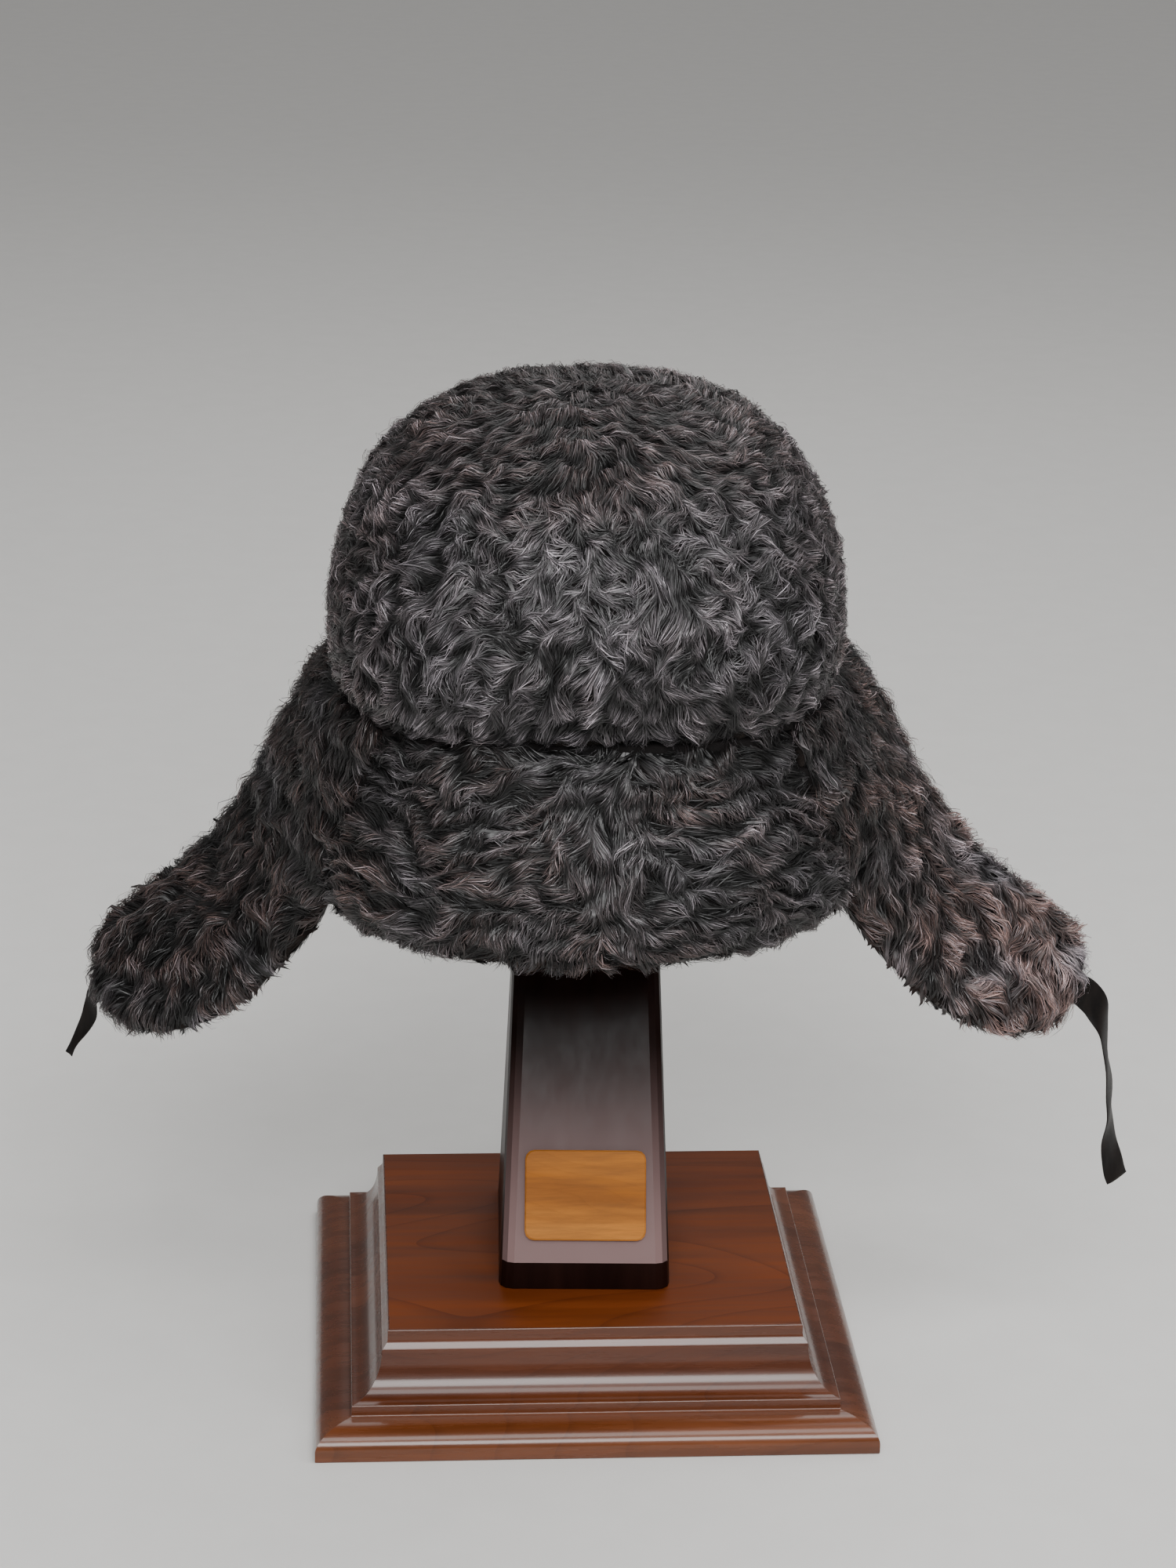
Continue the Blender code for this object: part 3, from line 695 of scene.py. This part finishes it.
def trace(start, normals, lie, length, tree, steps):
    """Follows the lie of the hair for some steps over the surface, from after the start."""
    places, uprights = [], []
    here, upright = start, normals
    for _ in range(abs(steps)):
        down, level = down_and_round(upright)
        turn = lie(here)[:, None]
        way = unit(np.cos(turn) * down + np.sin(turn) * level)
        ahead = here + way * (length * np.sign(steps) / STRAND_STEPS)[:, None]
        near, found, free = settle(ahead, tree, LEAVING_REACH)
        free |= found[:, 2] < RIM_SLOPE
        near = np.where(free[:, None], ahead, near)
        blend = np.where(free[:, None], upright, unit(0.5 * found + 0.5 * upright))
        here, upright = near, blend
        places.append(here)
        uprights.append(upright)
    return places, uprights


def trace_both_ways(start, normals, lie, length, tree):
    """Strands whose middles are the given places, so that they cover the skin evenly."""
    before = STRAND_STEPS // 2
    behind, ups_behind = trace(start, normals, lie, length, tree, -before)
    ahead, ups_ahead = trace(start, normals, lie, length, tree, STRAND_STEPS - before)
    places = [*reversed(behind), start, *ahead]
    uprights = [*reversed(ups_behind), normals, *ups_ahead]
    return np.stack(places, axis=1), np.stack(uprights, axis=1)


def at_steps(rule, places):
    """What a rule gives for each step of each strand."""
    return rule(places.reshape(-1, 3)).reshape(places.shape[:2])


def strand_lift(pelt, relief, kinds, inner, chance):
    """How high each step of each strand stands over the outline's surface."""
    count = len(kinds)
    rise = chance.gamma(4.0, 0.25, count)[:, None] * pelt.loft
    curve = CURL_LIFT * rise * np.sin(ALONG * 2.1)
    wild = (chance.random(count) < WILD_SHARE * pelt.wild)[:, None] * chance.random(count)[:, None]
    base = kinds[:, 3:4] + ROOT_LIFT - SKIN_INSET
    lift = base + RELIEF_DEPTH * relief + curve + WILD_LIFT * pelt.wild * wild * ALONG**2
    return np.where(inner[:, None], INNER_LIFT + INNER_RISE * ALONG, lift)


def painted_gleam(turn):
    """Painted highlight: hairs that lie level are painted lighter, as if they caught the light from above,
    and those that hang down are not.
    """
    return 0.72 + 0.48 * np.sin(turn) ** 2


def flap_reach(middle):
    """From 0 at the root of an ear flap, and on all that lies between the flaps, to 1 at its tip."""
    return np.clip((np.abs(middle[:, 0]) - FLAP_ROOT_X) / (FLAP_TIP_X - FLAP_ROOT_X), 0.0, 1.0)


def strand_greys(pelt, middle, even, kinds, inner, draw, chance):
    """How light each strand is: dark, common or light, and what its pelt and its clump make of it."""
    dark, common, light = (chance.uniform(*ends, len(draw)) for ends in STRAND_SHADES)
    grey = np.where(draw < DARK_BELOW, dark, np.where(draw < LIGHT_ABOVE, common, light))
    grey = grey + (MEAN_GREY - grey) * even
    clumps = np.exp(0.22 * PATCHES(middle) + 0.25 * CLUMPS(middle))
    # on the ear flaps this carries painted light: the right flap lighter out to its tip
    shade = pelt.shade + (pelt.tip_shade - pelt.shade) * flap_reach(middle)
    return grey * clumps * shade * kinds[:, 4] * np.where(inner, INNER_PAINTED_SHADE, 1.0)


def painted_strand_shade(pelt, places, relief, even):
    """Painted shade on each step: darker between the locks, under the crown's hem and on the crown's top."""
    painted_shade = 0.03 + 1.17 * np.clip(relief * 1.75 - 0.47, 0, 1)
    painted_shade = painted_shade + (MEAN_PAINTED_SHADE - painted_shade) * 0.5 * even[:, None]
    if pelt.outward is nape_outward:
        under_hem = np.clip((places[:, :, 2] - NAPE_SHADOW_Z) / NAPE_SHADOW_BAND, 0.0, 1.0)
        painted_shade = painted_shade * (1.0 - 0.75 * under_hem)
    return painted_shade * (1.0 - 0.20 * top_share(places[:, :, 2]))


def strand_tints(pelt, middle, draw):
    """The hue of each step: browner at the root, far out to the sides and on the crown's top."""
    edge = np.clip((np.abs(middle[:, 0] - HAT_SHIFT_X) - EDGE_X) / EDGE_BAND, 0.0, 1.0)
    warm = pelt.brown * (1.2 + BROWN_PATCHES(middle)) + EDGE_WARMTH * edge
    warm = warm + TOP_WARMTH * top_share(middle[:, 2])
    warm = warm[:, None] + 0.30 * (1 - ALONG) - 0.15
    warm = np.clip(warm, 0.0, 0.8) * np.where(draw < LIGHT_ABOVE, 1.0, LIGHT_WARMTH)[:, None]
    return np.stack((1.0 + 0.22 * warm, 0.91 - 0.22 * warm, 0.99 - 0.42 * warm), axis=2)


def strand_colours(pelt, places, relief, kinds, inner, chance):
    """A colour for each step of each strand, from a dark brownish root to a greyer tip."""
    draw = chance.random(len(places))
    middle = places[:, STRAND_STEPS // 2]
    even = pelt.tip_even * flap_reach(middle)
    grey = strand_greys(pelt, middle, even, kinds, inner, draw, chance)
    fade = 0.30 + 0.70 * np.clip(ALONG * 2.2, 0, 1)
    painted_shade = painted_strand_shade(pelt, places, relief, even)
    # painted shade between the locks and a painted highlight on level hairs are multiplied into the colour
    # here
    value = grey[:, None] * fade * painted_shade * painted_gleam(at_steps(pelt.lie, places))
    colours = np.ones((*value.shape, 4))
    colours[:, :, :3] = value[:, :, None] * strand_tints(pelt, middle, draw)
    return colours


def strand_points(places, uprights, widths, rolls):
    """Both edges of each strand, step by step from its root, and then its tip."""
    along = np.gradient(places, axis=1)
    along /= np.maximum(np.linalg.norm(along, axis=2), 1e-9)[:, :, None]
    across = np.cross(along, uprights)
    across /= np.maximum(np.linalg.norm(across, axis=2), 1e-9)[:, :, None]
    outward = np.cross(across, along)
    across = across * np.cos(rolls)[:, None, None] + outward * np.sin(rolls)[:, None, None]
    taper = (0.55 + 0.45 * np.sin(math.pi * np.clip(ALONG * 1.1, 0, 1)))[None, :, None]
    half = across * (widths[:, None, None] * taper / 2)
    left, right = places - half, places + half
    body = np.stack((left[:, :-1], right[:, :-1]), axis=2).reshape(len(places), -1, 3)
    return np.concatenate((body, places[:, -1:]), axis=1).reshape(-1, 3)


def strand_faces(count):
    """Each strand's faces, four-sided ones and a triangle at the tip: their corners and their sizes."""
    first = np.arange(count)[:, None] * STRAND_POINTS
    quads = [first + 2 * step + np.array([[0, 1, 3, 2]]) for step in range(STRAND_STEPS - 1)]
    quads = np.stack(quads, axis=1).reshape(count, -1)
    tips = first + 2 * (STRAND_STEPS - 1) + np.array([[0, 1, 2]])
    corners = np.concatenate((quads, tips), axis=1).reshape(-1)
    return corners, np.tile(np.array([4] * (STRAND_STEPS - 1) + [3]), count)


def strand_mesh(name, places, uprights, widths, rolls, colours):
    """Flat tapered strands, each a strip of faces that ends in a point."""
    points = strand_points(places, uprights, widths, rolls)
    corners, sizes = strand_faces(len(places))
    shades = np.concatenate((np.repeat(colours[:, :-1], 2, axis=1), colours[:, -1:]), axis=1)
    mesh = bpy.data.meshes.new(name)
    mesh.vertices.add(len(points))
    mesh.vertices.foreach_set("co", points.astype(np.float32).reshape(-1))
    mesh.loops.add(len(corners))
    mesh.loops.foreach_set("vertex_index", corners.astype(np.int32))
    mesh.polygons.add(len(sizes))
    starts = np.concatenate(([0], np.cumsum(sizes)[:-1]))
    mesh.polygons.foreach_set("loop_start", starts.astype(np.int32))
    mesh.update(calc_edges=True)
    layer = mesh.color_attributes.new("shade", "FLOAT_COLOR", "POINT")
    layer.data.foreach_set("color", shades.astype(np.float32).reshape(-1))
    lay_out_strands(mesh, corners, widths)
    mesh.shade_smooth()
    return mesh


def add_map(mesh, name, u, v):
    layer = mesh.uv_layers.new(name=name)
    layer.uv.foreach_set("vector", np.stack((u, v), axis=1).astype(np.float32).reshape(-1))


def lay_out_strands(mesh, corners, widths):
    """Two maps: a narrow cell to each strand, for its baked colours, and a count of hairs across it."""
    lines = math.ceil(math.sqrt(CELL_LENGTH * len(widths)))
    columns = math.ceil(len(widths) / lines)
    strand, own = corners // STRAND_POINTS, corners % STRAND_POINTS
    along = (own // 2) / STRAND_STEPS
    across = np.where(own == STRAND_POINTS - 1, 0.5, own % 2)
    at_end, at_side = CELL_MARGINS
    u = (strand % columns + at_end + (1 - 2 * at_end) * along) / columns
    v = (strand // columns + at_side + (1 - 2 * at_side) * across) / lines
    add_map(mesh, "OFBake", u, v)
    u = 1.6 * along + 0.37 * (strand % 101)
    v = (across - 0.5) * (widths / LINE_WIDTH)[strand] + 9.0 * (strand % 97)
    add_map(mesh, "hairs", u, v)


class Skin:
    """A pelt's skin as it is remeshed, before any of it is moved, and a search tree of all round it."""

    def __init__(self, name, pelt):
        self.mesh = merged_copy(pelt.nodes, name + "_hide")
        self.points, self.normals, self.corners = mesh_arrays(self.mesh)
        self.outer = pelt.outward(self.points, self.normals)
        self.tree = BVHTree.FromPolygons(self.points.tolist(), self.corners.tolist())
        self.others = tree_of([n for n in frame["nodes"] if n not in pelt.nodes and "ribbon" not in n])


def hair_density(name, skin):
    """How densely hair grows on each triangle: on the skin's outer side, and on its inner side."""
    middle = skin.points[skin.corners].mean(axis=1)
    facing = unit(skin.normals[skin.corners].mean(axis=1))
    open_air = ~covered(middle, facing, skin.others, HAIR_REACH)
    out_here = skin.outer[skin.corners].mean(axis=1)
    hair = open_air * np.clip((out_here + 0.02) * 6.0, 0.0, 1.0)
    if name == "crown":
        hair = hair * np.where(middle[:, 1] < 0.0, 1.0, FRONT_DENSITY)
    return hair, (open_air * (out_here < 0.0)).astype(float)


def strand_starts(name, pelt, skin, chance):
    """Where the strands grow, how the skin faces there, and which of them are on its inner side."""
    outside, inside = hair_density(name, skin)
    count = int(pelt.strands * pelt.inner_share)
    arrays = (skin.points, skin.normals, skin.corners)
    starts, uprights = scatter(*arrays, outside, pelt.strands - count, chance)
    inner = np.zeros(pelt.strands, dtype=bool)
    if count:
        more, ups = scatter(*arrays, inside, count, chance)
        starts, uprights = np.vstack((starts, more)), np.vstack((uprights, ups))
        inner[-count:] = True
    return starts, uprights, inner


def skin_sink(pelt, skin):
    """How far each point of the skin goes in from the frame's surface, or out where it is negative."""
    points, normals = skin.points, skin.normals
    hairy = np.clip(skin.outer * 3.0, 0.0, 1.0)
    sink = (SKIN_INSET - RELIEF_DEPTH * RELIEFS[pelt.lie](points)) * hairy + BARE_INSET * (1 - hairy)
    sink = np.where(covered(points, normals, skin.others, SHELTER_REACH), 0.0, sink)
    sink = np.where(covered(points, normals, skin.others, SEAM_REACH), -SEAM_SWELL, sink)
    return np.where(cornered(points, pelt), -CORNER_SWELL, sink)


def build_hide(name, pelt, skin, surfaces):
    """The hide under the hair: sunk on its hair side, with the relief of the locks."""
    mesh = skin.mesh
    moved = skin.points - skin.normals * skin_sink(pelt, skin)[:, None]
    mesh.vertices.foreach_set("co", moved.astype(np.float32).reshape(-1))
    mesh.update()
    hide = link(name + "_hide", mesh, surfaces["hide"], surfaces["lining"])
    first = np.empty(len(mesh.polygons), dtype=np.int32)
    mesh.polygons.foreach_get("loop_start", first)
    vertex = np.empty(len(mesh.loops), dtype=np.int32)
    mesh.loops.foreach_get("vertex_index", vertex)
    inside = (skin.outer[vertex[first]] < 0.0).astype(np.int32)
    mesh.polygons.foreach_set("material_index", inside)
    mesh.shade_smooth()
    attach(hide, "root")
    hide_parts(*pelt.nodes)


def fur_parts(name, starts):
    """The pieces that a pelt's strands are shown in, and which strands each has."""
    if name != "crown":
        return {name + "_fur": np.ones(len(starts), dtype=bool)}
    rear, left = starts[:, 1] < 0.0, starts[:, 0] < HAT_SHIFT_X
    return {
        "crown_fur_rear_left": rear & left,
        "crown_fur_rear_right": rear & ~left,
        "crown_fur_front": ~rear,
    }


def build_pelt(name, pelt, seed, surfaces):
    """A pelt's hide, and the strands that grow on it."""
    chance = np.random.default_rng(seed)
    skin = Skin(name, pelt)
    starts, uprights, inner = strand_starts(name, pelt, skin, chance)
    table = np.array(STRAND_KINDS)
    kinds = table[chance.choice(len(table), size=pelt.strands, p=table[:, 0])]
    kinds[inner] = table[0]
    length = pelt.length * kinds[:, 5] * chance.uniform(*LENGTH_RANGE, pelt.strands)
    places, rising = trace_both_ways(starts, uprights, pelt.lie, length, skin.tree)
    relief = at_steps(RELIEFS[pelt.lie], places)
    lifted = places + rising * strand_lift(pelt, relief, kinds, inner, chance)[:, :, None]
    widths = kinds[:, 1] + (kinds[:, 2] - kinds[:, 1]) * chance.random(pelt.strands)
    rolls = chance.normal(0.0, 1.0, pelt.strands) * kinds[:, 6]
    colours = strand_colours(pelt, places, relief, kinds, inner, chance)
    build_hide(name, pelt, skin, surfaces)
    for part, chosen in fur_parts(name, starts).items():
        own = (values[chosen] for values in (lifted, rising, widths, rolls, colours))
        fur = link(part, strand_mesh(part, *own), surfaces["strands"])
        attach(fur, "root")


# Studio


def area_light(name, at, aim, size, power):
    data = bpy.data.lights.new(name, "AREA")
    data.shape = "RECTANGLE"
    data.size, data.size_y = size
    data.energy = power
    light = bpy.data.objects.new(name, data)
    facing = (Vector(at) - Vector(aim)).to_track_quat("Z", "Y").to_matrix().to_4x4()
    light.matrix_world = Matrix.Translation(at) @ facing
    bpy.context.scene.collection.objects.link(light)


def sunlight():
    data = bpy.data.lights.new("overhead", "SUN")
    data.energy = SUN_STRENGTH
    data.angle = SUN_WIDTH
    light = bpy.data.objects.new("overhead", data)
    light.rotation_euler = SUN_TURN
    bpy.context.scene.collection.objects.link(light)


def make_floor():
    mesh = bpy.data.meshes.new("floor")
    near, far = -FLOOR_REACH, FLOOR_REACH
    mesh.from_pydata([(near, near, 0), (far, near, 0), (far, far, 0), (near, far, 0)], [], [(0, 1, 2, 3)])
    ground = Surface("floor", (0.74, 0.73, 0.71), 0.8)
    mottle = ground.noise(ground.mapped((1.0, 1.0, 1.0)), 40.0, 2.0)
    ground.join(ground.ramp(mottle, (0.3, (0.73, 0.72, 0.70)), (0.7, (0.75, 0.74, 0.72))), "Base Color")
    link("floor", mesh, ground.material)


def make_studio():
    world = bpy.data.worlds.new("studio")
    world.use_nodes = True
    world.node_tree.nodes["Background"].inputs["Color"].default_value = WORLD_COLOUR
    world.node_tree.nodes["Background"].inputs["Strength"].default_value = WORLD_STRENGTH
    bpy.context.scene.world = world
    for light in AREA_LIGHTS:
        area_light(*light)
    sunlight()
    make_floor()


# Stand


def arc(centre, radii, first, last, steps):
    """Points on part of an ellipse, from one angle in degrees to another."""
    angles = [math.radians(first + (last - first) * k / steps) for k in range(steps + 1)]
    return [(centre[0] + radii[0] * math.cos(a), centre[1] + radii[1] * math.sin(a)) for a in angles]


def plinth_profile(height):
    """The moulding as (inset, height) in millimetres, from the underside up to the plateau's edge."""
    outline = [(0.8, 0.0), (0.2, 0.25), (0.0, 0.9), (0.0, 4.4)]
    outline += arc((14.0, 4.6), (14.0, 8.6), 180.0, 92.0, 18)
    outline += [(14.4, 13.25), (15.1, 13.35), (15.45, 13.7), (15.5, 14.2)]
    outline += arc((16.2, 17.5), (0.7, 0.8), 180.0, 95.0, 5)
    outline += arc((16.3, 37.0), (12.3, 18.7), 271.0, 357.0, 20)
    outline += [(28.62, 37.25), (28.75, 37.55), (29.2, 38.25), (29.8, 39.05), (30.35, 39.8), (30.75, 40.5)]
    outline += [(30.95, 41.2), (31.0, 42.0), (31.05, height - 1.0)]
    outline += arc((31.85, height - 0.8), (0.8, 0.8), 180.0, 90.0, 5)
    return outline


def plinth_mesh():
    """The plinth with its mouldings in full, mitred at the corners, and its plateau as material 1."""
    low, high = (Vector(corner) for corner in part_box("stand_base"))
    shape = bmesh.new()
    loops = []
    for inset, height in plinth_profile((high.z - low.z) / MM):
        i, z = inset * MM, low.z + height * MM
        left, right, front, back = low.x + i, high.x - i, low.y + i, high.y - i
        ring = [(left, front), (right, front), (right, back), (left, back)]
        loops.append([shape.verts.new((x, y, z)) for x, y in ring])
    for below, above in zip(loops, loops[1:]):
        for k in range(4):
            j = (k + 1) % 4
            side = shape.faces.new((below[k], below[j], above[j], above[k]))
            side.smooth = True
            shape.edges.get((below[k], above[k])).smooth = False
    shape.faces.new(tuple(reversed(loops[0])))
    top = shape.faces.new(tuple(loops[-1]))
    top.material_index = 1
    for edge in [*top.edges, *(e for vertex in loops[0] for e in vertex.link_edges)]:
        edge.smooth = False
    mesh = bpy.data.meshes.new("plinth")
    shape.to_mesh(mesh)
    shape.free()
    return mesh


def build_plinth(moulding, plateau):
    """The moulded plinth, in the place of the CAD model's plain block."""
    piece = link("plinth", plinth_mesh(), moulding.material, plateau.material)
    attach(piece, "root")
    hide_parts("stand_base")


def dress_stand():
    red = ((0.050, 0.011, 0.003), (0.102, 0.025, 0.006), (0.158, 0.045, 0.012))
    brown = ((0.102, 0.020, 0.003), (0.156, 0.034, 0.005), (0.214, 0.055, 0.010))
    black = ((0.005, 0.0015, 0.001), (0.011, 0.0035, 0.0025), (0.020, 0.007, 0.005))
    tan = ((0.300, 0.100, 0.016), (0.430, 0.158, 0.028), (0.540, 0.220, 0.048))
    build_plinth(wood_surface("lacquered_wood", red, 0.26, 34.0, "X", 0.45, 0.40, 0.35),
                 wood_surface("plateau_wood", brown, 0.46, 34.0, "X", 0.04, 0.18, 0.60))
    surfaces = {
        # the post's second colour is a painted sheen for its lower front face
        "stand_post": post_surface(black, (0.215, 0.137, 0.133)),
        "stand_plaque": wood_surface("plaque_wood", tan, 0.50, 110.0, "X", 0.0, 0.10, 0.2),
        "stand_pad": wood_surface("pad_wood", black, 0.45, 40.0, "X", 0.0, 0.30),
    }
    for node, surface in surfaces.items():
        for material_slot in frame["nodes"][node].material_slots:
            material_slot.material = surface.material


clear_scene()
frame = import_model()
make_camera()
satin = satin_surface()
ribbon("tie_right", "ribbon_right", RIBBON_RIGHT, creases=0.55, satin=satin)
ribbon("tie_left", "ribbon_left", RIBBON_LEFT, creases=0.35, satin=satin)
make_studio()
dress_stand()
fur_surfaces = {
    "hide": hide_surface("karakul_hide", (0.004, 0.0035, 0.0035), (0.012, 0.010, 0.010)),
    "lining": hide_surface("hide_inside", (0.010, 0.008, 0.007), (0.022, 0.017, 0.015)),
    "strands": strand_surface(),
}
for index, (pelt_name, pelt) in enumerate(PELTS.items()):
    build_pelt(pelt_name, pelt, FIRST_SEED + index, fur_surfaces)
